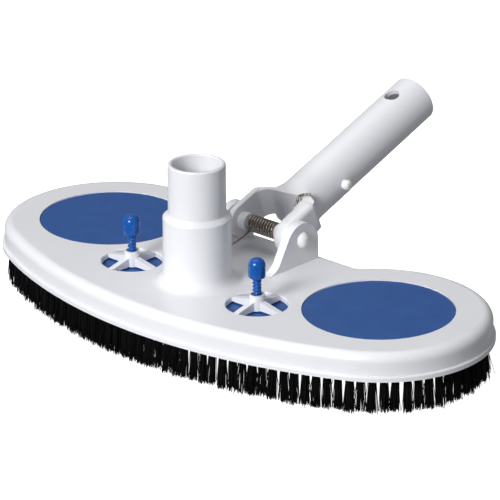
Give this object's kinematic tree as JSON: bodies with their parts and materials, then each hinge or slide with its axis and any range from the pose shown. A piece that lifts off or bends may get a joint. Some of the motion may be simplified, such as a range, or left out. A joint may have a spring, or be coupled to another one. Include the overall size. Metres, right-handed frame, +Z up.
{
  "type": "manual pool vacuum head",
  "caption": "Weighted pool vacuum head with a brushed skirt, hose spigot, suction valves with knobs, and a sprung tilting handle that snaps into a telescopic pole.",
  "frame": {"origin": "middle of the overall box at the level of the bristle tips, with the handle at its rest tilt", "axes": "+X along the head's length, +Y from the front edge back towards the handle, +Z up"},
  "size_m": [0.3296, 0.2388, 0.1069],
  "materials": {
    "white_abs": "glossy moulded white ABS",
    "pin_nylon": "off-white nylon, slightly translucent",
    "blue_cover": "satin blue plastic",
    "blue_knob": "glossy bright blue plastic",
    "ballast_steel": "plain coated steel ballast",
    "stainless": "stainless steel",
    "spring_steel": "dark bronze-toned spring wire",
    "seal_rubber": "soft black rubber",
    "brush_backing": "black moulded strip",
    "bristles": "black nylon bristles"
  },
  "bodies": {
    "head": {"deck_shell": "white_abs", "left_cover_disc": "blue_cover", "right_cover_disc": "blue_cover", "left_ballast": "ballast_steel", "right_ballast": "ballast_steel", "cover_screws": "stainless", "hinge_pin": "pin_nylon", "hinge_pin_cap": "pin_nylon", "torsion_spring": "spring_steel", "brush_strip": "brush_backing", "brush_screws": "stainless", "bristle_band": "bristles"},
    "handle": {"handle": "white_abs", "snap_spring": "stainless"},
    "left_button": {"left_snap_button": "pin_nylon"},
    "right_button": {"right_snap_button": "pin_nylon"},
    "left_valve": {"left_valve_disc": "blue_cover", "left_valve_seal": "seal_rubber"},
    "left_knob": {"left_valve_knob": "blue_knob", "left_valve_washer": "stainless", "left_valve_screw": "stainless"},
    "right_valve": {"right_valve_disc": "blue_cover", "right_valve_seal": "seal_rubber"},
    "right_knob": {"right_valve_knob": "blue_knob", "right_valve_washer": "stainless", "right_valve_screw": "stainless"}
  },
  "joints": [
    {"name": "handle_tilt", "type": "hinge", "parent": "head", "child": "handle", "pos_m": [0, -0.01188, 0.0503], "axis": [1, 0, 0], "range_deg": [-12, 70], "stiffness_Nm_per_rad": 0.5, "springref_deg": 2.86, "deforming": ["torsion_spring"]},
    {"name": "left_button_press", "type": "slide", "parent": "handle", "child": "left_button", "axis": [1, 0, 0], "range_m": [0, 0.0038], "stiffness_N_per_m": 600, "springref_m": -0.002, "deforming": ["snap_spring"]},
    {"name": "right_button_press", "type": "slide", "parent": "handle", "child": "right_button", "axis": [-1, 0, 0], "range_m": [0, 0.0038], "stiffness_N_per_m": 600, "springref_m": -0.002, "deforming": ["snap_spring"]},
    {"name": "left_valve_travel", "type": "slide", "parent": "head", "child": "left_valve", "axis": [0, 0, 1], "range_m": [-0.006, 0]},
    {"name": "left_knob_turn", "type": "hinge", "parent": "left_valve", "child": "left_knob", "pos_m": [-0.0474, -0.07149, 0.0359], "axis": [0, 0, 1], "range_deg": [-1081, 0]},
    {"name": "right_valve_travel", "type": "slide", "parent": "head", "child": "right_valve", "axis": [0, 0, 1], "range_m": [-0.006, 0]},
    {"name": "right_knob_turn", "type": "hinge", "parent": "right_valve", "child": "right_knob", "pos_m": [0.0474, -0.07149, 0.0359], "axis": [0, 0, 1], "range_deg": [-1081, 0]}
  ],
  "couplings": [
    {"joint": "left_knob_turn", "follows": "left_valve_travel", "rad_per_m": 3141.6},
    {"joint": "right_knob_turn", "follows": "right_valve_travel", "rad_per_m": 3141.6}
  ]
}
